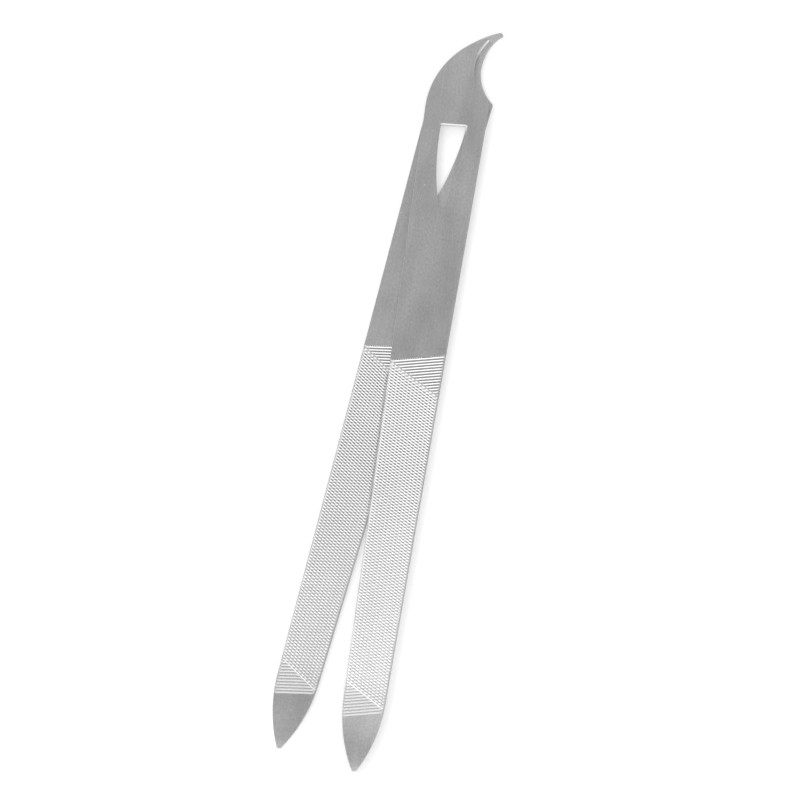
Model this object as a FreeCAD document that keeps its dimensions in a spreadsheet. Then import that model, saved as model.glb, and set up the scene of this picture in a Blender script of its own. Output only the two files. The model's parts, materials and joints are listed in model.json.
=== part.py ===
"""Two equal flat hooked files, one lying on the other and fanned about a point beside their openings.

Each leaf is one piece of sheet steel: a tapered blade with file teeth and a pointed end, an opening to pick
it up by, and a hook. Millimetres, +Z up. The origin lies on the rear leaf's underside and centre line, level
with the centre of the hook's round back. +Y runs along the rear leaf towards its hook, +X towards the notch.
"""

import FreeCAD, Part
import math
import os

import Sketcher

# Driving dimensions, kept in the document's spreadsheet. Lengths in mm, angles in degrees.
DIMENSIONS = {
    "thickness": 1.0,  # of each leaf
    "edge_break": 0.12,  # chamfer around both faces
    "blade_reach": 160.9,  # from the centre of the hook's back to the blade's tip
    "point_length": 16.5,  # from the blade's tip to where its edges become straight
    "point_width": 9.65,  # across the blade where its edges become straight
    "point_nose_radius": 0.65,
    "edge_taper": 1.1,  # of each straight edge, from the centre line
    "hook_back_radius": 21.6,
    "hook_nose_radius": 0.45,
    "notch_radius": 11.5,
    "notch_rise": 11.5,  # the notch's centre above the back's centre
    "opening_width": 6.2,
    "opening_shift": -0.15,  # of its middle, from the centre line
    "opening_top": 3.8,  # from the origin to the opening's top edge
    "opening_top_tilt": 4.5,
    "opening_side_radius": 74.0,
    "opening_side_drop": 5.9,  # from the origin to the level where the opening is widest
    "opening_nose_radius": 0.6,
    "opening_corner_radius": 0.4,
    "cut_tilt": 13.3,  # of each row of teeth, from square across the blade
    "cut_spacing": 0.693,  # from row to row, square to the rows
    "cut_land": 0.12,  # flat left on top of each row
    "cut_steep": 0.14,  # the part of a groove's width under its steep wall, which faces the blade's tip
    "cut_depth": 0.13,
    "cut_rows": 120,
    "cut_start": 13.45,  # from the blade's tip to the first groove's foot, along the centre line
    "leaf_gap": 0.03,  # burrs and oil between the two leaves
    "fan_angle": 6.5,  # of the front leaf, whose tip is turned towards +X from the rear leaf's
    "fan_centre_x": 15.75,  # the turn's centre, just off the leaf beside the opening
    "fan_centre_y": -3.95,
}

# How far the centre of the hook's back lies from the centre line, so that the back runs into the left edge.
BACK_X = (
    "dims.hook_back_radius / cos(dims.edge_taper * 1 deg) - dims.point_width / 2"
    " - (dims.blade_reach - dims.point_length) * tan(dims.edge_taper * 1 deg)"
)

# Names for Sketcher's numbers: a curve's points, and the sketch's origin and axes.
START, END, CENTRE = 1, 2, 3
ORIGIN, X_AXIS, Y_AXIS = -1, -1, -2


def add_sheet(doc):
    """A spreadsheet with one named cell for each driving dimension."""
    sheet = doc.addObject("Spreadsheet::Sheet", "dims")
    for row, (name, value) in enumerate(DIMENSIONS.items(), start=1):
        sheet.set(f"A{row}", name)
        sheet.set(f"B{row}", str(value))
        sheet.setAlias(f"B{row}", name)
    doc.recompute()


def origin_feature(body, role):
    """One of the body's own origin planes or axes."""
    for feature in body.Origin.OriginFeatures:
        if feature.Role == role:
            return feature
    raise LookupError(role)


def add_sketch(body, name, plane):
    """A new sketch flat on one of the body's origin planes."""
    sketch = body.newObject("Sketcher::SketchObject", name)
    sketch.AttachmentSupport = [(origin_feature(body, plane), "")]
    sketch.MapMode = "FlatFace"
    return sketch


def point(x, y):
    return FreeCAD.Vector(x, y, 0)


def polar(centre, radius, turn):
    """The point at a radius and an angle in degrees from a centre."""
    angle = math.radians(turn)
    return centre + point(radius * math.cos(angle), radius * math.sin(angle))


def bearing(start, end):
    """The direction from one point to another, in degrees."""
    return math.degrees(math.atan2(end.y - start.y, end.x - start.x))


def add_line(sketch, start, end):
    return sketch.addGeometry(Part.LineSegment(start, end))


def add_arc(sketch, centre, radius, start, end):
    """A counter-clockwise arc between two angles in degrees."""
    circle = Part.Circle(centre, FreeCAD.Vector(0, 0, 1), radius)
    return sketch.addGeometry(Part.ArcOfCircle(circle, math.radians(start), math.radians(end)))


def constrain(sketch, kind, *where):
    sketch.addConstraint(Sketcher.Constraint(kind, *where))


def dimension(sketch, name, kind, *where, size):
    """A named dimension that follows an expression over the spreadsheet; angles are in degrees."""
    value = float(sketch.evalExpression(size))
    if kind == "Angle":
        value = math.radians(value)
        size = f"({size}) * 1 deg"
    index = sketch.addConstraint(Sketcher.Constraint(kind, *where, value))
    sketch.renameConstraint(index, name)
    sketch.setExpression(f"Constraints.{name}", size)


def add_outline(body):
    """The leaf's outline: pointed blade, straight tapered edges, round-backed hook and round notch."""
    d = DIMENSIONS
    taper = d["edge_taper"]
    half_point = d["point_width"] / 2
    shoulder_y = d["point_length"] - d["blade_reach"]
    right_shoulder = point(half_point, shoulder_y)
    left_shoulder = point(-half_point, shoulder_y)

    # The hook: its back is tangent to the left edge, and its small nose joins the back to the notch.
    back = point(float(body.evalExpression(BACK_X)), 0)
    notch = back + point(0, d["notch_rise"])
    back_to_nose = d["hook_back_radius"] - d["hook_nose_radius"]
    notch_to_nose = d["notch_radius"] + d["hook_nose_radius"]
    nose_y = (back_to_nose**2 - notch_to_nose**2 + d["notch_rise"] ** 2) / (2 * d["notch_rise"])
    nose = point(back.x - math.sqrt(back_to_nose**2 - nose_y**2), nose_y)
    edge_end = polar(back, d["hook_back_radius"], 180 + taper)

    # The corner, about where the right edge meets the notch; the solver finds it exactly.
    corner_turn = 180 + math.degrees(math.acos((back.x + edge_end.x) / d["notch_radius"]))
    corner = polar(notch, d["notch_radius"], corner_turn)

    # The blade's point: two equal arcs, tangent to the edges and to the small nose.
    point_nose = point(0, d["point_nose_radius"] - d["blade_reach"])
    point_radius = 2 * d["point_length"]
    right_centre = right_shoulder - point(point_radius, 0)
    left_centre = left_shoulder + point(point_radius, 0)
    nose_start = bearing(left_centre, point_nose)
    nose_end = bearing(right_centre, point_nose)

    sketch = add_sketch(body, "outline_sketch", "XY_Plane")
    right_edge = add_line(sketch, right_shoulder, corner)
    notch_arc = add_arc(sketch, notch, d["notch_radius"], bearing(notch, nose), corner_turn)
    hook_nose = add_arc(sketch, nose, d["hook_nose_radius"], bearing(nose, notch), bearing(back, nose))
    back_arc = add_arc(sketch, back, d["hook_back_radius"], bearing(back, nose), 180 + taper)
    left_edge = add_line(sketch, edge_end, left_shoulder)
    left_point = add_arc(sketch, left_centre, point_radius, 180, nose_start)
    blade_nose = add_arc(sketch, point_nose, d["point_nose_radius"], nose_start, nose_end)
    right_point = add_arc(sketch, right_centre, point_radius, nose_end, 0)

    constrain(sketch, "Coincident", right_edge, END, notch_arc, END)
    constrain(sketch, "Tangent", notch_arc, START, hook_nose, START)
    constrain(sketch, "Tangent", hook_nose, END, back_arc, START)
    constrain(sketch, "Tangent", back_arc, END, left_edge, START)
    constrain(sketch, "Tangent", left_edge, END, left_point, START)
    constrain(sketch, "Tangent", left_point, END, blade_nose, START)
    constrain(sketch, "Tangent", blade_nose, END, right_point, START)
    constrain(sketch, "Tangent", right_point, END, right_edge, START)
    constrain(sketch, "Symmetric", left_edge, END, right_edge, START, Y_AXIS)
    constrain(sketch, "PointOnObject", blade_nose, CENTRE, Y_AXIS)
    constrain(sketch, "PointOnObject", back_arc, CENTRE, X_AXIS)
    constrain(sketch, "Vertical", back_arc, CENTRE, notch_arc, CENTRE)

    def reach(name, kind, start, end, size):
        dimension(sketch, name, kind, *start, *end, size=size)

    origin = (ORIGIN, START)
    reach("point_width", "DistanceX", (left_edge, END), (right_edge, START), "dims.point_width")
    reach("shoulder", "DistanceY", (right_edge, START), origin, "dims.blade_reach - dims.point_length")
    reach("nose_reach", "DistanceY", (blade_nose, CENTRE), origin, "dims.blade_reach - dims.point_nose_radius")
    reach("notch_rise", "DistanceY", (back_arc, CENTRE), (notch_arc, CENTRE), "dims.notch_rise")
    dimension(sketch, "right_taper", "Angle", right_edge, size="90 - dims.edge_taper")
    dimension(sketch, "left_taper", "Angle", left_edge, size="dims.edge_taper - 90")
    dimension(sketch, "blade_nose_radius", "Radius", blade_nose, size="dims.point_nose_radius")
    dimension(sketch, "back_radius", "Radius", back_arc, size="dims.hook_back_radius")
    dimension(sketch, "hook_nose_radius", "Radius", hook_nose, size="dims.hook_nose_radius")
    dimension(sketch, "notch_radius", "Radius", notch_arc, size="dims.notch_radius")
    return sketch


def add_opening(body):
    """The opening: two long arcs that narrow to a small nose towards the blade, under a tilted top edge."""
    d = DIMENSIONS
    half = d["opening_width"] / 2
    side = d["opening_side_radius"]
    level = -d["opening_side_drop"]
    small = d["opening_corner_radius"]
    right_centre = point(half - side, level)
    left_centre = point(side - half, level)
    centre_to_nose = side - d["opening_nose_radius"]
    nose = point(0, level - math.sqrt(centre_to_nose**2 - right_centre.x**2))
    nose_start = bearing(left_centre, nose)
    nose_end = bearing(right_centre, nose)

    # The top corners' centres lie one corner radius inside the top edge and the sides.
    tilt = math.radians(d["opening_top_tilt"])
    middle = point(0, -(d["opening_top"] + small) / math.cos(tilt))
    along_top = point(half - small, (half - small) * math.tan(tilt))
    right_corner = middle + along_top
    left_corner = middle - along_top
    upward = 90 + d["opening_top_tilt"]

    sketch = add_sketch(body, "opening_sketch", "XY_Plane")
    sketch.setExpression("AttachmentOffset.Base.x", "dims.opening_shift")
    top = add_line(sketch, polar(right_corner, small, upward), polar(left_corner, small, upward))
    left_top = add_arc(sketch, left_corner, small, upward, 180)
    left_side = add_arc(sketch, left_centre, side, 180, nose_start)
    bottom = add_arc(sketch, nose, d["opening_nose_radius"], nose_start, nose_end)
    right_side = add_arc(sketch, right_centre, side, nose_end, 0)
    right_top = add_arc(sketch, right_corner, small, 0, upward)

    constrain(sketch, "Tangent", top, END, left_top, START)
    constrain(sketch, "Tangent", left_top, END, left_side, START)
    constrain(sketch, "Tangent", left_side, END, bottom, START)
    constrain(sketch, "Tangent", bottom, END, right_side, START)
    constrain(sketch, "Tangent", right_side, END, right_top, START)
    constrain(sketch, "Tangent", right_top, END, top, START)
    constrain(sketch, "Symmetric", left_side, CENTRE, right_side, CENTRE, Y_AXIS)
    constrain(sketch, "Equal", left_side, right_side)
    constrain(sketch, "Equal", left_top, right_top)
    inset = "dims.opening_side_radius - dims.opening_width / 2"
    drop = "dims.opening_side_drop"
    dimension(sketch, "side_inset", "DistanceX", right_side, CENTRE, ORIGIN, START, size=inset)
    dimension(sketch, "side_level", "DistanceY", right_side, CENTRE, ORIGIN, START, size=drop)
    dimension(sketch, "side_radius", "Radius", right_side, size="dims.opening_side_radius")
    dimension(sketch, "nose_radius", "Radius", bottom, size="dims.opening_nose_radius")
    dimension(sketch, "corner_radius", "Radius", right_top, size="dims.opening_corner_radius")
    dimension(sketch, "top_tilt", "Angle", top, size="180 + dims.opening_top_tilt")
    dimension(sketch, "top_level", "Distance", ORIGIN, START, top, size="dims.opening_top")
    return sketch


def add_groove(sketch, name, face, inward):
    """One groove's triangle on the face at height `face`, with its foot on the sketch's vertical axis."""
    d = DIMENSIONS
    low = point(d["cut_land"] + d["cut_steep"] - d["cut_spacing"], face)
    foot = point(0, face + inward * d["cut_depth"])
    high = point(d["cut_steep"], face)
    gentle_wall = add_line(sketch, low, foot)
    steep_wall = add_line(sketch, foot, high)
    mouth = add_line(sketch, high, low)
    constrain(sketch, "Coincident", gentle_wall, END, steep_wall, START)
    constrain(sketch, "Coincident", steep_wall, END, mouth, START)
    constrain(sketch, "Coincident", mouth, END, gentle_wall, START)
    constrain(sketch, "Horizontal", mouth)
    constrain(sketch, "PointOnObject", gentle_wall, END, Y_AXIS)
    gentle = "dims.cut_spacing - dims.cut_land - dims.cut_steep"
    steep = "dims.cut_steep"
    dimension(sketch, f"{name}_gentle", "DistanceX", gentle_wall, START, gentle_wall, END, size=gentle)
    dimension(sketch, f"{name}_steep", "DistanceX", steep_wall, START, steep_wall, END, size=steep)
    return gentle_wall, mouth


def add_groove_sketch(body):
    """The first groove between two rows of teeth, seen along the row, on both faces of the leaf."""
    d = DIMENSIONS
    sketch = add_sketch(body, "groove_sketch", "YZ_Plane")
    sketch.AttachmentOffset = FreeCAD.Placement(
        point(d["cut_start"] - d["blade_reach"], 0),
        FreeCAD.Rotation(FreeCAD.Vector(0, 1, 0), d["cut_tilt"]),
    )
    sketch.setExpression("AttachmentOffset.Base.x", "dims.cut_start - dims.blade_reach")
    sketch.setExpression("AttachmentOffset.Rotation.Angle", "dims.cut_tilt * 1 deg")

    wall, mouth = add_groove(sketch, "upper", d["thickness"], -1)
    dimension(sketch, "upper_face", "DistanceY", ORIGIN, START, mouth, START, size="dims.thickness")
    dimension(sketch, "upper_depth", "DistanceY", wall, END, mouth, START, size="dims.cut_depth")

    wall, mouth = add_groove(sketch, "under", 0, 1)
    constrain(sketch, "PointOnObject", mouth, START, X_AXIS)
    dimension(sketch, "under_depth", "DistanceY", mouth, START, wall, END, size="dims.cut_depth")
    return sketch


def add_leaf(doc, name):
    """One leaf, flat on the origin's plane: blank, opening, broken edges, then the rows of teeth."""
    body = doc.addObject("PartDesign::Body", name)
    body.Label = name

    blank = body.newObject("PartDesign::Pad", "blank")
    blank.Profile = add_outline(body)
    blank.setExpression("Length", "dims.thickness")

    opening = body.newObject("PartDesign::Pocket", "opening")
    opening.Profile = add_opening(body)
    opening.Type = "ThroughAll"
    opening.Reversed = True
    doc.recompute()

    half_thickness = DIMENSIONS["thickness"] / 2
    flat_edges = [
        f"Edge{number}"
        for number, edge in enumerate(opening.Shape.Edges, start=1)
        if edge.BoundBox.ZLength < half_thickness
    ]
    broken = body.newObject("PartDesign::Chamfer", "broken_edges")
    broken.Base = (opening, flat_edges)
    broken.setExpression("Size", "dims.edge_break")
    doc.recompute()

    groove = body.newObject("PartDesign::Pocket", "groove")
    groove.Profile = add_groove_sketch(body)
    groove.SideType = "Symmetric"
    groove.Type = "Length"
    groove.setExpression("Length", "3 * dims.point_width")
    doc.recompute()

    rows = body.newObject("PartDesign::LinearPattern", "tooth_rows")
    rows.Originals = [groove]
    rows.Direction = (origin_feature(body, "Y_Axis"), [""])
    rows.Mode = "Spacing"
    rows.setExpression("Offset", "dims.cut_spacing / cos(dims.cut_tilt * 1 deg)")
    rows.setExpression("Occurrences", "dims.cut_rows")
    body.Tip = rows
    return body


def lay_on_rear_leaf(body):
    """Lifts the leaf onto the rear one and turns it about the fan's centre."""
    upright = FreeCAD.Vector(0, 0, 1)
    body.Placement = FreeCAD.Placement(point(0, 0), FreeCAD.Rotation(upright, DIMENSIONS["fan_angle"]))
    swing = "sin(dims.fan_angle * 1 deg)"
    shrink = "(1 - cos(dims.fan_angle * 1 deg))"
    body.setExpression("Placement.Rotation.Angle", "dims.fan_angle * 1 deg")
    body.setExpression("Placement.Base.x", f"dims.fan_centre_x * {shrink} + dims.fan_centre_y * {swing}")
    body.setExpression("Placement.Base.y", f"dims.fan_centre_y * {shrink} - dims.fan_centre_x * {swing}")
    body.setExpression("Placement.Base.z", "dims.thickness + dims.leaf_gap")


def check(doc, leaves):
    """Stops if any object failed to rebuild, or a leaf isn't one sound solid with every cut made."""
    for item in doc.Objects:
        if "Invalid" in item.State or "Error" in item.State:
            raise RuntimeError(f"{item.Label} did not rebuild: {item.State}")
    for body in leaves:
        shape = body.Shape
        if shape.isNull() or not shape.isValid() or len(shape.Solids) != 1:
            raise RuntimeError(f"{body.Label} is not one valid solid")
        volumes = [step.Shape.Volume for step in body.Group if step.isDerivedFrom("PartDesign::Feature")]
        if any(later >= earlier for earlier, later in zip(volumes, volumes[1:])):
            raise RuntimeError(f"{body.Label} has a cut that removed no steel: {volumes}")


def main():
    doc = FreeCAD.newDocument("hooked_files")
    add_sheet(doc)
    rear = add_leaf(doc, "rear_leaf")
    front = add_leaf(doc, "front_leaf")
    lay_on_rear_leaf(front)
    doc.recompute()
    check(doc, [rear, front])
    os.makedirs("parts", exist_ok=True)
    for body in (rear, front):
        body.Shape.exportStep(f"parts/{body.Label}.step")


main()
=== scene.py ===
"""A pair of hooked flat files in brushed steel: one lies flat, the other is fanned over it."""

import json
import math

import bpy
import numpy as np
from mathutils import Matrix, Vector
from mathutils.geometry import delaunay_2d_cdt


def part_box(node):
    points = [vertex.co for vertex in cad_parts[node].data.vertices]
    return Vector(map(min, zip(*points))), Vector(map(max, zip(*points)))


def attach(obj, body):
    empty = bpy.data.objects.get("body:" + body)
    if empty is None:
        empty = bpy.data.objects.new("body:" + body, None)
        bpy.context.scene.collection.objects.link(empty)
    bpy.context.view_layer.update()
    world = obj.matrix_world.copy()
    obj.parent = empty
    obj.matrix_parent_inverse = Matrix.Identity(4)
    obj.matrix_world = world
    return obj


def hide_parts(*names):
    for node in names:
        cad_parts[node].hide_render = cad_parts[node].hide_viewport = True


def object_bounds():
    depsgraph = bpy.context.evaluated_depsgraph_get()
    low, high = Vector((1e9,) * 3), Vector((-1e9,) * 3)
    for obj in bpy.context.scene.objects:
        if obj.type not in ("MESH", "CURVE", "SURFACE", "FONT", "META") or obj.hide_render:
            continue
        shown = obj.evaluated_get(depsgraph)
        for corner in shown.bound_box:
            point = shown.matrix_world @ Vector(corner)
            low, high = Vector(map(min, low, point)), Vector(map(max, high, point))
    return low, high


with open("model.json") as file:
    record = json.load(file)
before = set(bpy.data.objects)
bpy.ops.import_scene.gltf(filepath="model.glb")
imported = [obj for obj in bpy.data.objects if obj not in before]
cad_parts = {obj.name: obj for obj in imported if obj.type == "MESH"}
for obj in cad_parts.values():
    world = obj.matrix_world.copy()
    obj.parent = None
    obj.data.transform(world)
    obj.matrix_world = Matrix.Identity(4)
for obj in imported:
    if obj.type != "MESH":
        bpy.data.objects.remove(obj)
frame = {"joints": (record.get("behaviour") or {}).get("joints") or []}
cad_low, cad_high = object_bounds()

MM = 0.001

# One leaf, face up, in millimetres: x across, y towards the hook, the origin in the head.
rear_low, rear_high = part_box("rear_leaf")
front_low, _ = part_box("front_leaf")
THICKNESS = (rear_high.z - rear_low.z) / MM
TIP = rear_low.y / MM

# The outline: the notch's lower corner, where the left edge ends at the head, where the right edge
# ends at the point, the straight edges' lean in degrees, and the arcs of the point and of its nose.
CORNER = (7.635, 1.927)
EDGE_HEAD = (-7.590, -0.415)
EDGE_FOOT = (4.825, -144.4)
EDGE_TAPER = 1.1
POINT_CENTRE, POINT_RADIUS = (30.581, -143.72), 35.41
BLADE_NOSE_CENTRE, BLADE_NOSE_RADIUS = (0.0, -160.25), 0.65
# Each hook: the radii of its back and nose, its notch's centre, and the rounding along the notch's
# upper half. The photographed pair are ground a little differently.
REAR_HOOK = (22.85, 0.7, (14.006, 11.5), 0.06)
FRONT_HOOK = (21.3, 0.56, (14.198, 11.339), 0.42)
NOTCH_UPPER_Y = 13.5

# The see-through opening: two long sides, a rounded lower end, and a tilted top with two corners.
OPENING_SHIFT = -0.15
OPENING_SIDE_CENTRE, OPENING_SIDE_RADIUS = (70.9, -5.9), 74.0
OPENING_NOSE_CENTRE, OPENING_NOSE_RADIUS = (0.0, -24.893), 0.6
OPENING_RIGHT_CORNER, OPENING_LEFT_CORNER = (2.682, -4.252), (-2.690, -4.674)
OPENING_CORNER_RADIUS = 0.4
OPENING_TOP_TILT = 4.5
OPENING_TOP_Y, OPENING_TOP_REACH = -4.25, (3.2, 0.6)

# The spacing of points along the outline: on straight edges, on arcs (never more than a share of
# the radius), and beside the teeth.
STRAIGHT_SPACING = 1.0
ARC_SPACING, ARC_SPACING_SHARE = 0.6, 0.17
FINE_SPACING = 0.14

# The rounded edge: how far in from the outline each ring of points lies, and how deep it is.
EDGE_RADIUS, TOP_EDGE_RADIUS = 0.03, 0.28
RINGS = (0.0, 1 - math.sqrt(0.5), 1.0, 2.0)
RING_DEPTHS = (1.0, 1 - math.sqrt(0.5), 0.0, 0.0)
# How near a point of the outline is to the notch's circle to be on it, how often the changes in the
# rounding are smoothed, and how far the teeth's own points stay from the last ring.
ON_NOTCH, SMOOTHING_PASSES, GRID_GAP = 0.05, 3, 0.06

# The worn slope along the right edge, where the teeth run out: where it deepens above the tip, and
# where it starts to fade below the notch's corner.
SLOPE_WIDTH, SLOPE_DEPTH = 0.62, 0.125
SLOPE_LOW_Y, SLOPE_FULL_Y, SLOPE_FADE_Y = TIP + 3, TIP + 9, -5
# A second line of points this far inside the slope's foot keeps the face beyond it flat.
SLOPE_MARGIN = 0.15
# How the teeth run out towards the right and the left edge, and their share at the left edge.
RIGHT_RUN_OUT, LEFT_RUN_OUT, LEFT_KEPT = (0.05, 0.38), (0.0, 0.3), 0.3
# How far from the left edge the painted shade in the cuts' feet reaches full darkness, and how dark
# it is at the edge.
FOOT_RUN_OUT, FOOT_KEPT = 1.0, 0.7

# The teeth. The first cut crosses the whole zone, the second lies across it. Pitches are square to
# the rows, tilts are in degrees, and FOOT_Y is the first foot's height on the centre line.
SUBSTEPS = 5
CUT_DEPTH = 0.13
FIRST_PITCH, FIRST_TILT, FIRST_ROWS = 0.693, 13.3, 120
FIRST_FOOT_Y = TIP + 13.45
SECOND_PITCH, SECOND_TILT, SECOND_ROWS = 0.613, -29.6, 109
SECOND_FOOT_Y = -143.3
# The shares of a row under the steep wall and the land, and where a cut starts before its foot.
STEEP_SHARE, LAND_SHARE = 0.2, 0.2
START_PHASE = STEEP_SHARE + LAND_SHARE - 1
# How deep each cut is where they cross, against one cut alone, and the rows over which they blend.
FIRST_SHARE, SECOND_SHARE = 0.25, 0.9
BLEND_IN, BLEND_OUT_ROWS = 0.15, 3
# How dark the painted shade in a cut is over one row, foot to foot: alone, and where one cut
# crosses the other.
STEPS = (0.0, 0.2, 0.4, 0.6, 0.8, 1.0)
SINGLE_FOOT = (0.95, 0.8, 0.3, 0.0, 0.0, 0.95)
SECOND_FOOT = (1.0, 0.9, 0.25, 0.0, 0.0, 1.0)
FIRST_FOOT = (1.0, 0.7, 0.3, 0.5, 1.0, 1.0)
# The toothed zone, with a little to spare at both ends, and more than half of its width.
TOOTH_LOW_Y, TOOTH_HIGH_Y = TIP + 11.0, -60.5
TOOTH_HALF_WIDTH = 8.0


def bearing(centre, towards):
    return math.atan2(towards[1] - centre[1], towards[0] - centre[0])


def on_circle(centre, radius, angles):
    return np.column_stack(
        (centre[0] + radius * np.cos(angles), centre[1] + radius * np.sin(angles))
    )


def arc(centre, radius, start, end, turn=1):
    """Points round an arc between two angles, without the last; turn 1 is anticlockwise."""
    sweep = (turn * (end - start)) % (2 * math.pi)
    spacing = min(ARC_SPACING, ARC_SPACING_SHARE * radius)
    count = max(2, math.ceil(sweep * radius / spacing))
    return on_circle(centre, radius, start + turn * sweep * np.arange(count) / count)


def straight(start, end, spacing=STRAIGHT_SPACING):
    """Points along a line, without the last."""
    start, end = np.array(start, float), np.array(end, float)
    count = max(1, math.ceil(np.linalg.norm(end - start) / spacing))
    return start + (end - start) * (np.arange(count) / count)[:, None]


def mirrored(point):
    return (-point[0], point[1])


def blade_edge():
    """The right edge from the foot up to the corner, closely stepped along the teeth."""
    foot, corner = np.array(EDGE_FOOT), np.array(CORNER)
    break_point = foot + (corner - foot) * (TOOTH_HIGH_Y - foot[1]) / (corner[1] - foot[1])
    return np.vstack((straight(foot, break_point, FINE_SPACING), straight(break_point, corner)))


def point_arc():
    """The right side of the blade's point, from the nose up to the foot."""
    centre = mirrored(POINT_CENTRE)
    start, end = bearing(centre, BLADE_NOSE_CENTRE), bearing(centre, EDGE_FOOT)
    sweep = end - start
    count = math.ceil(sweep * POINT_RADIUS / FINE_SPACING)
    return on_circle(centre, POINT_RADIUS, start + sweep * np.arange(count) / count)


def hook_centres(back_radius, nose_radius, notch_centre):
    """The centres of the hook's back, which runs into the left edge, and of the nose at its tip."""
    taper = math.radians(EDGE_TAPER)
    back = (
        EDGE_HEAD[0] + back_radius * math.cos(taper),
        EDGE_HEAD[1] + back_radius * math.sin(taper),
    )
    from_back = back_radius - nose_radius
    from_notch = math.dist(notch_centre, CORNER) + nose_radius
    apart = math.dist(back, notch_centre)
    along = (from_back**2 - from_notch**2 + apart**2) / (2 * apart)
    aside = math.sqrt(from_back**2 - along**2)
    to_notch = bearing(back, notch_centre)
    nose = (
        back[0] + along * math.cos(to_notch) - aside * math.sin(to_notch),
        back[1] + along * math.sin(to_notch) + aside * math.cos(to_notch),
    )
    return back, nose


def outline(hook):
    """The leaf's outline, anticlockwise."""
    right = blade_edge()
    back_radius, nose_radius, notch_centre, _ = hook
    back_centre, nose_centre = hook_centres(back_radius, nose_radius, notch_centre)
    notch_start = bearing(notch_centre, CORNER)
    notch_end = bearing(notch_centre, nose_centre)
    notch = arc(notch_centre, math.dist(notch_centre, CORNER), notch_start, notch_end, turn=-1)
    back_start = bearing(back_centre, nose_centre)
    nose = arc(nose_centre, nose_radius, notch_end + math.pi, back_start)
    back = arc(back_centre, back_radius, back_start, bearing(back_centre, EDGE_HEAD))
    foot, head = np.array(mirrored(EDGE_FOOT)), np.array(EDGE_HEAD)
    break_point = head + (foot - head) * (TOOTH_HIGH_Y - head[1]) / (foot[1] - head[1])
    left = np.vstack((straight(head, break_point), straight(break_point, foot, FINE_SPACING)))
    right_arc = point_arc()
    left_arc = np.vstack(([foot], right_arc[:0:-1] * (-1, 1)))
    nose_start = bearing(POINT_CENTRE, BLADE_NOSE_CENTRE)
    tip = arc(BLADE_NOSE_CENTRE, BLADE_NOSE_RADIUS, nose_start, math.pi - nose_start)
    return np.vstack((right, notch, nose, back, left, left_arc, tip, right_arc))


def opening():
    """The opening's outline, clockwise."""
    left_centre, right_centre = OPENING_SIDE_CENTRE, mirrored(OPENING_SIDE_CENTRE)
    nose_start = bearing(left_centre, OPENING_NOSE_CENTRE)
    nose_end = bearing(right_centre, OPENING_NOSE_CENTRE)
    right_end = bearing(right_centre, OPENING_RIGHT_CORNER)
    left_start = bearing(left_centre, OPENING_LEFT_CORNER)
    top = math.radians(90 + OPENING_TOP_TILT)
    reach = OPENING_CORNER_RADIUS * np.array((math.cos(top), math.sin(top)))
    loop = np.vstack(
        (
            arc(OPENING_NOSE_CENTRE, OPENING_NOSE_RADIUS, nose_start, nose_end),
            arc(right_centre, OPENING_SIDE_RADIUS, nose_end, right_end),
            arc(OPENING_RIGHT_CORNER, OPENING_CORNER_RADIUS, right_end, top),
            straight(np.array(OPENING_RIGHT_CORNER) + reach, np.array(OPENING_LEFT_CORNER) + reach),
            arc(OPENING_LEFT_CORNER, OPENING_CORNER_RADIUS, top, left_start),
            arc(left_centre, OPENING_SIDE_RADIUS, left_start, nose_start),
        )
    )
    return (loop + (OPENING_SHIFT, 0))[::-1]


def moved_in(path, distance, closed=True):
    """A path moved to its left by a distance, with mitred corners."""
    if closed:
        before, after = np.roll(path, 1, axis=0), np.roll(path, -1, axis=0)
    else:
        before = np.vstack((2 * path[0] - path[1], path[:-1]))
        after = np.vstack((path[1:], 2 * path[-1] - path[-2]))

    def left_of(step):
        unit = step / np.linalg.norm(step, axis=1)[:, None]
        return np.column_stack((-unit[:, 1], unit[:, 0]))

    first, second = left_of(path - before), left_of(after - path)
    mitre = (first + second) / (1 + (first * second).sum(axis=1))[:, None]
    return path + np.reshape(distance, (-1, 1)) * mitre


def distance_to(points, path):
    """The distance from each point to an open path."""
    start, step = path[:-1], path[1:] - path[:-1]
    length_squared = (step**2).sum(axis=1)
    nearest = np.full(len(points), 1e9)
    for a, d, l2 in zip(start, step, length_squared):
        offset = points - a
        along = np.clip((offset @ d) / l2, 0, 1)
        gap = offset - along[:, None] * d
        nearest = np.minimum(nearest, (gap**2).sum(axis=1))
    return np.sqrt(nearest)


def inside(points, loop):
    """Which points lie inside a closed loop."""
    found = np.zeros(len(points), bool)
    x, y = points[:, 0], points[:, 1]
    for (ax, ay), (bx, by) in zip(loop, np.roll(loop, -1, axis=0)):
        crosses = (ay > y) != (by > y)
        if crosses.any():
            found ^= crosses & (x < (bx - ax) * (y - ay) / (by - ay + 1e-30) + ax)
    return found


def smooth_step(low, high, value):
    t = np.clip((value - low) / (high - low), 0, 1)
    return t * t * (3 - 2 * t)


def groove(phase, rows):
    """How deep a cut is, from 0 to 1: steep wall, land, then a long slope to the next foot."""
    part = phase - np.floor(phase)
    rise = STEEP_SHARE + LAND_SHARE
    depth = np.where(
        part < STEEP_SHARE,
        1 - part / STEEP_SHARE,
        np.where(part < rise, 0.0, (part - rise) / (1 - rise)),
    )
    used = (phase > START_PHASE - 1e-6) & (phase < rows - 1 + STEEP_SHARE + 1e-6)
    return np.where(used, depth, 0.0)


def across(tilt):
    """The unit vector square to rows with this tilt, pointing to the hook."""
    angle = math.radians(tilt)
    return np.array((-math.sin(angle), math.cos(angle)))


FIRST_ACROSS, SECOND_ACROSS = across(FIRST_TILT), across(SECOND_TILT)


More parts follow.
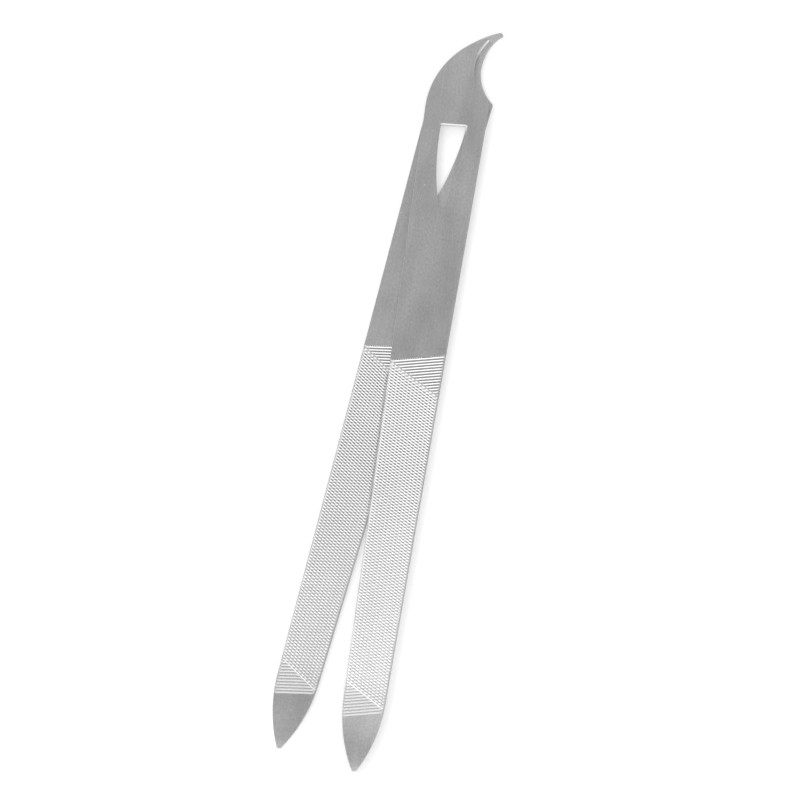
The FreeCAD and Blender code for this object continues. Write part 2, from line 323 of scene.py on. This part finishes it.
def phases(points):
    """Where points lie across both cuts, counted in rows from the first foot of each."""
    first = (points @ FIRST_ACROSS - FIRST_FOOT_Y * FIRST_ACROSS[1]) / FIRST_PITCH
    second = (points @ SECOND_ACROSS - SECOND_FOOT_Y * SECOND_ACROSS[1]) / SECOND_PITCH
    return first, second


def teeth(points):
    """The teeth's depth in millimetres, 1 inside the toothed zone, and how dark the painted shade
    in the feet is.
    """
    first, second = phases(points)
    first_depth, second_depth = groove(first, FIRST_ROWS), groove(second, SECOND_ROWS)
    in_zone = (first > START_PHASE - 1e-6) & (first < FIRST_ROWS - 1 + STEEP_SHARE + 1e-6)
    begun = smooth_step(-BLEND_IN, BLEND_IN, second)
    last = SECOND_ROWS - 1 + STEEP_SHARE
    ended = smooth_step(last - BLEND_OUT_ROWS, last, second)
    double = in_zone * begun * (1 - ended)
    share = 1 + (FIRST_SHARE - 1) * double
    depth = CUT_DEPTH * (share * first_depth + SECOND_SHARE * double * second_depth)
    # The feet's darkness is painted shade, darkest where the cuts are deepest.
    single_foot = np.interp(first % 1, STEPS, SINGLE_FOOT)
    first_foot = np.interp(first % 1, STEPS, FIRST_FOOT)
    double_foot = np.interp(second % 1, STEPS, SECOND_FOOT) * first_foot
    foot = (single_foot + (double_foot - single_foot) * double) * in_zone
    return depth, in_zone.astype(float), foot


def lattice(loop, gap):
    """Points on both cuts' own steps, all over the toothed zone, a gap away from the outline."""
    # One step more than the first cut at both ends.
    first_start = round(START_PHASE * SUBSTEPS) - 1
    first_end = (FIRST_ROWS - 1) * SUBSTEPS + round(STEEP_SHARE * SUBSTEPS) + 1
    first_count = np.arange(first_start, first_end + 1)
    sides, ends = (-TOOTH_HALF_WIDTH, TOOTH_HALF_WIDTH), (TOOTH_LOW_Y - 2, TOOTH_HIGH_Y + 2)
    corners = np.array([(x, y) for x in sides for y in ends])
    second_all = phases(corners)[1] * SUBSTEPS
    second_count = np.arange(math.floor(second_all.min()), math.ceil(second_all.max()) + 1)
    first, second = np.meshgrid(first_count / SUBSTEPS, second_count / SUBSTEPS)
    first_at = first.ravel() * FIRST_PITCH + FIRST_FOOT_Y * FIRST_ACROSS[1]
    second_at = second.ravel() * SECOND_PITCH + SECOND_FOOT_Y * SECOND_ACROSS[1]
    square = np.array((FIRST_ACROSS, SECOND_ACROSS))
    points = np.linalg.solve(square, np.vstack((first_at, second_at))).T
    points = points[np.abs(points[:, 0]) < TOOTH_HALF_WIDTH]
    near = loop[(loop[:, 1] < TOOTH_HIGH_Y + 4)]
    near = near[np.argsort(np.where(near[:, 0] > 0, 1, -1) * (near[:, 1] - TIP))]
    points = points[inside(points, near)]
    return points[distance_to(points, near) > gap]


def edge_radius(loop, hook):
    """The rounding at each point of an outline: wider in the notch and at the opening's top."""
    _, _, notch_centre, notch_rounding = hook
    from_notch = np.linalg.norm(loop - notch_centre, axis=1) - math.dist(notch_centre, CORNER)
    in_notch = (np.abs(from_notch) < ON_NOTCH) & (loop[:, 1] > NOTCH_UPPER_Y)
    reach_x, reach_y = OPENING_TOP_REACH
    at_top = (np.abs(loop[:, 0]) < reach_x) & (np.abs(loop[:, 1] - OPENING_TOP_Y) < reach_y)
    radius = np.where(in_notch, notch_rounding, np.where(at_top, TOP_EDGE_RADIUS, EDGE_RADIUS))
    for _ in range(SMOOTHING_PASSES):
        radius = (np.roll(radius, 1) + 2 * radius + np.roll(radius, -1)) / 4
    return radius


def leaf_surface(hook):
    """The leaf's upper face.

    Returns its points and triangles, the numbers of the outline's and of the opening's points in
    order, and for each point its depth, whether it is toothed, and how dark the painted shade in a
    cut's foot is there.
    """
    outer, hole = outline(hook), opening()
    points, edges, depths = [], [], []

    def add_chain(chain, depth, closed=True):
        first = len(points)
        points.extend(map(tuple, chain))
        depths.extend(np.broadcast_to(depth, len(chain)))
        numbers = list(range(first, first + len(chain)))
        edges.extend(zip(numbers, numbers[1:]))
        if closed:
            edges.append((numbers[-1], numbers[0]))
        return numbers

    loops = []
    for loop in (outer, hole):
        radius = edge_radius(loop, hook)
        for offset, depth in zip(RINGS, RING_DEPTHS):
            numbers = add_chain(moved_in(loop, offset * radius), depth * radius)
            if offset == 0:
                loops.append(numbers)

    # The slope's foot, above and below the teeth. Along them the teeth's own points are enough.
    right = np.vstack((point_arc(), blade_edge()))
    for width in (SLOPE_WIDTH, SLOPE_WIDTH + SLOPE_MARGIN):
        chain = moved_in(right, width, closed=False)
        upper = chain[(chain[:, 1] > TOOTH_HIGH_Y + 1) & (chain[:, 1] < CORNER[1] - 1.2)]
        lower = chain[(chain[:, 1] < TOOTH_LOW_Y) & (chain[:, 1] > SLOPE_LOW_Y + 0.5)]
        add_chain(upper, 0.0, closed=False)
        add_chain(lower[::4], 0.0, closed=False)

    grid = lattice(outer, RINGS[-1] * EDGE_RADIUS + GRID_GAP)
    points.extend(map(tuple, grid))
    depths.extend([0.0] * len(grid))

    # Triangulate, and carry the numbers and depths over to the points that come out of it.
    made = delaunay_2d_cdt([Vector(p) for p in points], edges, [], 0, 1e-6)
    flat = np.array([tuple(v) for v in made[0]])
    triangles = np.array(made[2])
    place, ring_depth = {}, np.zeros(len(flat))
    for number, originals in enumerate(made[3]):
        for original in originals:
            place[original] = number
            ring_depth[number] = max(ring_depth[number], depths[original])
    loops = [[place[number] for number in loop] for loop in loops]
    # A triangle between points of the outlines alone lies outside the leaf.
    on_loop = np.zeros(len(flat), bool)
    on_loop[[number for loop in loops for number in loop]] = True
    triangles = triangles[~on_loop[triangles].all(axis=1)]

    # Every triangle anticlockwise.
    a, b, c = (flat[triangles[:, k]] for k in range(3))
    turn = (b - a)[:, 0] * (c - a)[:, 1] - (b - a)[:, 1] * (c - a)[:, 0]
    triangles[turn < 0] = triangles[turn < 0][:, ::-1]

    # The teeth run out towards both edges, and into the worn slope at the right.
    cut, toothed, foot = teeth(flat)
    to_right = distance_to(flat, right[::3])
    left = right * (-1, 1)
    to_left = distance_to(flat, left[::3])
    left_kept = LEFT_KEPT + (1 - LEFT_KEPT) * smooth_step(*LEFT_RUN_OUT, to_left)
    kept = smooth_step(*RIGHT_RUN_OUT, to_right) * left_kept
    cut, toothed, foot = cut * kept, toothed * kept, foot * kept
    # The painted shade in the feet is lighter at the left edge.
    foot *= FOOT_KEPT + (1 - FOOT_KEPT) * smooth_step(0.0, FOOT_RUN_OUT, to_left)
    height = flat[:, 1]
    worn = smooth_step(SLOPE_LOW_Y, SLOPE_FULL_Y, height)
    worn = worn * (1 - smooth_step(SLOPE_FADE_Y, CORNER[1], height))
    slope = SLOPE_DEPTH * worn * np.clip(1 - to_right / SLOPE_WIDTH, 0, 1)
    depth = np.maximum(cut, slope) + ring_depth
    return flat, triangles, loops, depth, toothed, foot


def leaf_mesh(name, surface, place):
    """A closed mesh of one leaf, with the underside a mirror of the face."""
    flat, triangles, loops, depth, toothed, foot = surface
    count = len(flat)
    upper = np.column_stack((flat, THICKNESS - depth))
    under = np.column_stack((flat, depth))
    leaf = np.vstack((upper, under))
    faces = [tuple(t) for t in triangles.tolist()]
    faces += [(a + count, c + count, b + count) for a, b, c in triangles.tolist()]
    for loop in loops:
        for a, b in zip(loop, loop[1:] + loop[:1]):
            faces.append((a, a + count, b + count, b))

    mesh = bpy.data.meshes.new(name)
    mesh.from_pydata([tuple(p) for p in leaf * MM], [], faces)
    mesh.update()
    # The material reads these: the leaf's own position, whether a point is toothed, and how dark
    # the painted shade in the cuts' feet is.
    position = mesh.attributes.new("leaf_position", "FLOAT_VECTOR", "POINT")
    position.data.foreach_set("vector", leaf.astype(np.float32).ravel())
    for label, values in (("toothed", toothed), ("foot", foot)):
        attribute = mesh.attributes.new(label, "FLOAT", "POINT")
        attribute.data.foreach_set("value", np.tile(values, 2).astype(np.float32))
    mesh.transform(place)
    mesh.shade_smooth()
    mesh.set_sharp_from_angle(angle=math.radians(30))
    return mesh


class Tree:
    """Short calls for making and joining shader nodes."""

    def __init__(self, tree):
        self.tree = tree
        tree.nodes.clear()

    def add(self, kind, inputs=None, output=0, **settings):
        node = self.tree.nodes.new(kind)
        for key, value in settings.items():
            setattr(node, key, value)
        for key, value in (inputs or {}).items():
            if isinstance(value, bpy.types.NodeSocket):
                self.tree.links.new(value, node.inputs[key])
            else:
                node.inputs[key].default_value = value
        return node.outputs[output] if len(node.outputs) else None

    def math(self, operation, a, b=0.0):
        return self.add("ShaderNodeMath", {0: a, 1: b}, operation=operation)

    def mix(self, share, first, second):
        """A number that goes from the first to the second as the share goes from 0 to 1."""
        return self.add("ShaderNodeMix", {0: share, 2: first, 3: second}, data_type="FLOAT")

    def grey(self, value):
        return self.add("ShaderNodeCombineColor", {0: value, 1: value, 2: value})

    def parts(self, vector):
        """A vector's x, y and z."""
        node = self.tree.nodes.new("ShaderNodeSeparateXYZ")
        self.tree.links.new(vector, node.inputs[0])
        return node.outputs[:3]

    def range(self, value, low, high, to_low=0.0, to_high=1.0):
        inputs = {0: value, 1: low, 2: high, 3: to_low, 4: to_high}
        return self.add("ShaderNodeMapRange", inputs)

    def ramp(self, value, low, high, stops):
        """A number, at most 2, that follows (place, number) stops between low and high."""
        node = self.tree.nodes.new("ShaderNodeValToRGB")
        self.tree.links.new(self.range(value, low, high), node.inputs[0])
        elements = node.color_ramp.elements
        while len(elements) < len(stops):
            elements.new(0.5)
        for element, (place, number) in zip(elements, stops):
            element.position = (place - low) / (high - low)
            element.color = (number / 2, number / 2, number / 2, 1.0)
        return self.math("MULTIPLY", node.outputs[0], 2.0)

    def noise(self, vector, scale, detail, move, turn=0.0):
        """Noise of the size of one over scale, in millimetres, along each direction."""
        mapped = self.add(
            "ShaderNodeMapping",
            {"Vector": vector, "Scale": scale, "Rotation": (0, 0, turn), "Location": move},
        )
        return self.add("ShaderNodeTexNoise", {"Vector": mapped, "Scale": 1.0, "Detail": detail})


# Places along the leaf where its looks change: the upper end of the painted light and shade along
# it, where the point's coarser grain starts, where the crests brighten after the first rows, where
# the painted shade in the feet is lifted towards the tip, and below which the walls that face the
# tip get a painted highlight.
HOOK_TOP_Y = 20.0
GRAIN_STARTS = (-147.0, -150.0)
LOW_CRESTS = (-145.0, -139.0)
FOOT_LIFT_Y = (-146.0, -90.0)
BLADE_HIGHLIGHT_Y = (-99.0, -100.0)


def steel(name, plain, along, tooth, low_tooth, foot_shade_tone, worn, edge, hook_wall_highlight, seed):
    """Brushed steel with bright cut teeth. Everything is sized in millimetres of the leaf.

    plain is the brushed faces' reflectance, and along lists (y, factor) pairs that change it over
    the leaf's length: painted light and shade. tooth and low_tooth are the reflectances of the
    teeth's crests and of the crests in the first rows by the tip, and foot_shade_tone is the tone
    of the painted shade in the cuts' feet. worn lifts that painted shade near the tip. edge is the
    tone of the painted shade on the walls that face right. hook_wall_highlight is 1 if the hook's
    walls that face the tip get a painted highlight, and 0 if not. seed moves the noise.
    """
    material = bpy.data.materials.new(name)
    material.use_nodes = True
    t = Tree(material.node_tree)
    at = t.add("ShaderNodeAttribute", output=1, attribute_name="leaf_position")
    foot = t.add("ShaderNodeAttribute", output=2, attribute_name="foot")
    toothed = t.add("ShaderNodeAttribute", output=2, attribute_name="toothed")
    _, y, _ = t.parts(at)

    # Brushing, clouds, scratches and specks.
    fine = t.noise(at, (3.6, 1.5, 1.0), 3.0, move=(seed, 0, 0))
    streak = t.noise(at, (2.4, 0.08, 1.0), 3.0, move=(seed * 2, 5, 0))
    cloud = t.noise(at, (0.16, 0.07, 1.0), 2.0, move=(seed * 3, 9, 0))
    scratch = t.noise(at, (3.5, 0.13, 1.0), 1.0, turn=0.16, move=(seed * 5, 2, 0))
    scratch = t.range(scratch, 0.71, 0.78)
    cross = t.noise(at, (0.3, 3.6, 1.0), 1.0, turn=0.55, move=(seed * 7, 1, 0))
    cross = t.range(cross, 0.72, 0.78)
    cells = t.tree.nodes.new("ShaderNodeTexVoronoi")
    cells.inputs["Scale"].default_value = 0.23
    t.tree.links.new(at, cells.inputs["Vector"])
    chosen = t.range(t.add("ShaderNodeSeparateColor", {0: cells.outputs["Color"]}), 0.45, 0.5)
    speck = t.math("MULTIPLY", t.range(cells.outputs["Distance"], 0.1, 0.05), chosen)

    # The plain faces, with a coarser grain on the point.
    tone = t.range(streak, 0.3, 0.7, 0.965, 1.035)
    tone = t.math("MULTIPLY", tone, t.range(fine, 0.25, 0.75, 0.87, 1.13))
    tone = t.math("MULTIPLY", tone, t.range(cloud, 0.3, 0.7, 0.96, 1.04))
    grain = t.noise(at, (0.5, 2.6, 1.0), 2.0, move=(seed * 9, 4, 0))
    graining = t.range(y, *GRAIN_STARTS, 0.0, 1.0)
    grain = t.math("MULTIPLY", t.range(grain, 0.3, 0.7, -0.05, 0.05), graining)
    tone = t.math("MULTIPLY", tone, t.math("ADD", grain, 1.0))
    # Painted light and shade along the leaf: the steel is brightened and darkened over its length.
    tone = t.math("MULTIPLY", tone, t.ramp(y, TIP, HOOK_TOP_Y, along))
    marks = t.math("ADD", t.math("MULTIPLY", scratch, 0.12), t.math("MULTIPLY", cross, 0.16))
    marks = t.math("ADD", marks, t.math("MULTIPLY", speck, 0.4))
    tone = t.math("ADD", tone, marks)
    plain_tone = t.math("MULTIPLY", tone, plain)

    # The teeth.
    # Painted shade in the cuts' feet, lifted towards the tip.
    low = t.range(y, *FOOT_LIFT_Y, foot_shade_tone + worn, foot_shade_tone)
    crest = t.range(y, *LOW_CRESTS, low_tooth, tooth)
    tooth_tone = t.mix(foot, crest, low)
    tooth_tone = t.math("MULTIPLY", tooth_tone, t.range(cloud, 0.3, 0.7, 0.97, 1.03))
    tooth_tone = t.math("MULTIPLY", tooth_tone, t.range(fine, 0.25, 0.75, 0.96, 1.04))
    mixed = t.mix(toothed, plain_tone, tooth_tone)

    # The edges: walls, and the rounding between a wall and a face, toned by the way they face as
    # painted light and shade. The rounding gets a painted highlight where it faces the tip. Walls
    # that face the tip get a painted highlight on the point and on the rear hook, and a darker
    # painted grey elsewhere; walls that face right get painted shade.
    to_right, to_hook, up = t.parts(t.add("ShaderNodeNewGeometry", output=3))
    upward = t.math("ABSOLUTE", up)
    wall = t.range(upward, 0.3, 0.15)
    rounded = t.math("MULTIPLY", t.range(upward, 0.97, 0.88), t.math("SUBTRACT", 1.0, toothed))
    # Painted highlight: the rounding turns white where it faces the tip.
    rounding_highlight_tone = t.range(to_hook, 0.0, -0.3, 0.55, 1.1)
    mixed = t.mix(rounded, mixed, rounding_highlight_tone)
    # Painted highlight: walls that face the tip turn white on the point, and on the hook's upper
    # part when the material asks for it.
    blade_highlight = t.range(y, *BLADE_HIGHLIGHT_Y)
    hook_highlight = t.range(y, NOTCH_UPPER_Y - 0.5, NOTCH_UPPER_Y + 0.5, 0.0, hook_wall_highlight)
    ends = t.math("ADD", blade_highlight, hook_highlight)
    tip_wall_highlight = t.math("MULTIPLY", t.range(to_hook, -0.15, -0.5), ends)
    # Painted shade on the walls: darker where they face right, a lighter grey where they face the
    # tip.
    side_tone = t.range(to_right, -0.2, 0.2, 0.5, edge)
    wall_tone = t.range(to_hook, -0.8, -0.95, side_tone, 0.6)
    wall_tone = t.mix(tip_wall_highlight, wall_tone, 1.0)
    mixed = t.mix(wall, mixed, wall_tone)
    colour = t.grey(mixed)

    # Roughness, shine and the brushing's relief.
    rough = t.range(fine, 0.25, 0.75, 0.34, 0.44)
    rough = t.math("ADD", rough, t.range(cloud, 0.3, 0.7, -0.03, 0.03))
    rough = t.mix(toothed, rough, 0.3)
    rough = t.mix(wall, rough, 0.55)

    # Where the painted highlights are, the steel is made far less metallic, so they stay white from
    # every side.
    bright = t.math("MAXIMUM", rounded, t.math("MULTIPLY", tip_wall_highlight, wall))
    metallic = t.range(bright, 0.0, 1.0, 1.0, 0.2)

    height = t.math("ADD", fine, t.math("MULTIPLY", streak, 0.8))
    height = t.math("SUBTRACT", height, t.math("MULTIPLY", marks, 2.0))
    normal = t.add("ShaderNodeBump", {"Strength": 0.5, "Distance": 0.006 * MM, "Height": height})
    shader = t.add(
        "ShaderNodeBsdfPrincipled",
        {"Base Color": colour, "Metallic": metallic, "Roughness": rough, "Normal": normal},
    )
    t.add("ShaderNodeOutputMaterial", {"Surface": shader})
    return material


def add_piece(name, node, body, surface, place, material):
    piece = bpy.data.objects.new(name, leaf_mesh(name, surface, place))
    bpy.context.scene.collection.objects.link(piece)
    piece.data.materials.append(material)
    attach(piece, body)
    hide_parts(node)


# The front leaf is lifted, and turned about the joint from its lower limit, where it would cover
# the rear one.
fan = next(joint for joint in frame["joints"] if joint["name"] == "leaf_fan")
turn = Matrix.Rotation(-math.radians(fan["range_deg"][0]), 4, "Z")
pivot = Vector((fan["pos_m"][0], fan["pos_m"][1], 0))
lift = Vector((0, 0, front_low.z - rear_low.z))
fanned = Matrix.Translation(pivot + lift) @ turn @ Matrix.Translation(-pivot)

# The two leaves are one steel; the differences between their tones are painted light and shade,
# since each leaf catches the light a little differently.
rear_steel = steel(
    "rear_steel",
    plain=0.56,
    along=(
        (-160.9, 1.45),
        (-158.6, 1.06),
        (-150.0, 0.9),
        (-148.0, 0.89),
        (-70.0, 1.02),
        (2.0, 1.0),
        (8.0, 1.13),
        (18.0, 1.24),
    ),
    tooth=0.93,
    low_tooth=0.8,
    foot_shade_tone=0.18,
    worn=0.4,
    edge=0.4,
    hook_wall_highlight=1.0,
    seed=1.7,
)
front_steel = steel(
    "front_steel",
    plain=0.545,
    along=(
        (-160.9, 1.45),
        (-158.6, 1.09),
        (-154.5, 1.04),
        (-148.0, 1.3),
        (-70.0, 0.955),
        (-20.0, 0.985),
        (8.0, 1.0),
        (18.0, 1.12),
    ),
    tooth=1.0,
    low_tooth=0.82,
    foot_shade_tone=0.18,
    worn=0.55,
    edge=0.12,
    hook_wall_highlight=0.0,
    seed=4.3,
)
add_piece(
    "rear_leaf_steel",
    "rear_leaf",
    "rear",
    leaf_surface(REAR_HOOK),
    Matrix.Identity(4),
    rear_steel,
)
add_piece(
    "front_leaf_steel",
    "front_leaf",
    "front",
    leaf_surface(FRONT_HOOK),
    fanned,
    front_steel,
)


def add_floor():
    """A plain pale floor under the lower leaf."""
    size, drop = 6.0, 0.00005
    mesh = bpy.data.meshes.new("floor")
    turns = ((-1, -1), (1, -1), (1, 1), (-1, 1))
    mesh.from_pydata([(x * size, y * size, -drop) for x, y in turns], [], [(0, 1, 2, 3)])
    floor = bpy.data.objects.new("floor", mesh)
    bpy.context.scene.collection.objects.link(floor)
    material = bpy.data.materials.new("pale_floor")
    material.use_nodes = True
    t = Tree(material.node_tree)
    at = t.add("ShaderNodeTexCoord", output=3)
    paper = t.add("ShaderNodeTexNoise", {"Vector": at, "Scale": 60.0, "Detail": 3.0})
    tone = t.range(paper, 0.3, 0.7, 0.775, 0.785)
    colour = t.grey(tone)
    shader = t.add(
        "ShaderNodeBsdfPrincipled",
        {
            "Base Color": colour,
            "Roughness": 0.9,
            "Specular IOR Level": 0.0,
            "Emission Color": (1.0, 1.0, 1.0, 1.0),
            "Emission Strength": 0.31,
        },
    )
    t.add("ShaderNodeOutputMaterial", {"Surface": shader})
    mesh.materials.append(material)


def add_softbox(name, towards, distance, size, power):
    """A square area light that faces the object's middle."""
    light = bpy.data.lights.new(name, "AREA")
    light.shape = "SQUARE"
    light.size = size
    light.energy = power
    lamp = bpy.data.objects.new(name, light)
    bpy.context.scene.collection.objects.link(lamp)
    back = Vector(towards).normalized()
    lamp.location = (cad_low + cad_high) / 2 + back * distance
    lamp.rotation_mode = "QUATERNION"
    lamp.rotation_quaternion = (-back).to_track_quat("-Z", "Y")


# The card's direction and the angles from it between which it ends, the angles above the horizon
# between which the skirt gives way to the tent, and how far aside the tent's dimmer sides begin.
CARD_AXIS, CARD_ANGLES = (-0.067, 0.25, 0.966), (36, 24)
SKIRT_ANGLES = (14, 27)
TENT_SHIFT, TENT_SIDES = 0.1, (0.42, 0.62)


def add_world(card, tent, sides, skirt, shown):
    """A white tent with dimmer sides over a grey skirt, and a grey card where flat steel looks.

    card, tent, sides and skirt are how bright each is to the steel; shown is what the camera sees.
    """
    world = bpy.data.worlds.new("studio")
    bpy.context.scene.world = world
    world.use_nodes = True
    t = Tree(world.node_tree)
    seen = t.add("ShaderNodeLightPath", output=0)
    direction = t.add("ShaderNodeTexCoord", output=0)
    facing = t.add(
        "ShaderNodeVectorMath",
        {0: direction, 1: Vector(CARD_AXIS).normalized()},
        output=1,
        operation="DOT_PRODUCT",
    )
    across_tent, _, height = t.parts(direction)
    aside = t.math("ABSOLUTE", t.math("ADD", across_tent, TENT_SHIFT))
    panels = t.range(aside, *TENT_SIDES, tent, sides)
    skirt_top, tent_foot = (math.sin(math.radians(angle)) for angle in SKIRT_ANGLES)
    tented = t.range(height, skirt_top, tent_foot, skirt, panels)
    card_rim, card_middle = (math.cos(math.radians(angle)) for angle in CARD_ANGLES)
    cover = t.range(facing, card_rim, card_middle)
    light = t.mix(cover, tented, card)
    value = t.mix(seen, light, shown)
    colour = t.grey(value)
    background = t.add("ShaderNodeBackground", {"Color": colour, "Strength": 1.0})
    t.add("ShaderNodeOutputWorld", {"Surface": background})


# Azimuth and elevation in degrees, the point looked at in millimetres, and the distance in metres.
CAMERA_ANGLES = (15.13, 75.0)
CAMERA_TARGET = (5.198, -74.459, 0.0)
CAMERA_DISTANCE = 0.7023


def add_camera():
    """The photograph's viewpoint: almost straight down, from a little to the right of the tips."""
    azimuth, elevation = (math.radians(angle) for angle in CAMERA_ANGLES)
    target = Vector(CAMERA_TARGET) * MM
    back = Vector(
        (
            math.sin(azimuth) * math.cos(elevation),
            -math.cos(azimuth) * math.cos(elevation),
            math.sin(elevation),
        )
    )
    camera = bpy.data.cameras.new("camera")
    camera.lens, camera.sensor_width = 135.0, 36.0
    camera.clip_start, camera.clip_end = 0.01, 50.0
    stand = bpy.data.objects.new("camera", camera)
    bpy.context.scene.collection.objects.link(stand)
    stand.location = target + back * CAMERA_DISTANCE
    stand.rotation_mode = "QUATERNION"
    stand.rotation_quaternion = (-back).to_track_quat("-Z", "Y")
    bpy.context.scene.camera = stand


add_floor()
add_world(card=0.456, tent=1.74, sides=0.7, skirt=0.5, shown=1.0)
add_softbox("left_softbox", (-0.8, 0.3, 0.6), 0.8, 0.5, 0.6)
add_camera()
bpy.context.scene.view_settings.view_transform = "Standard"
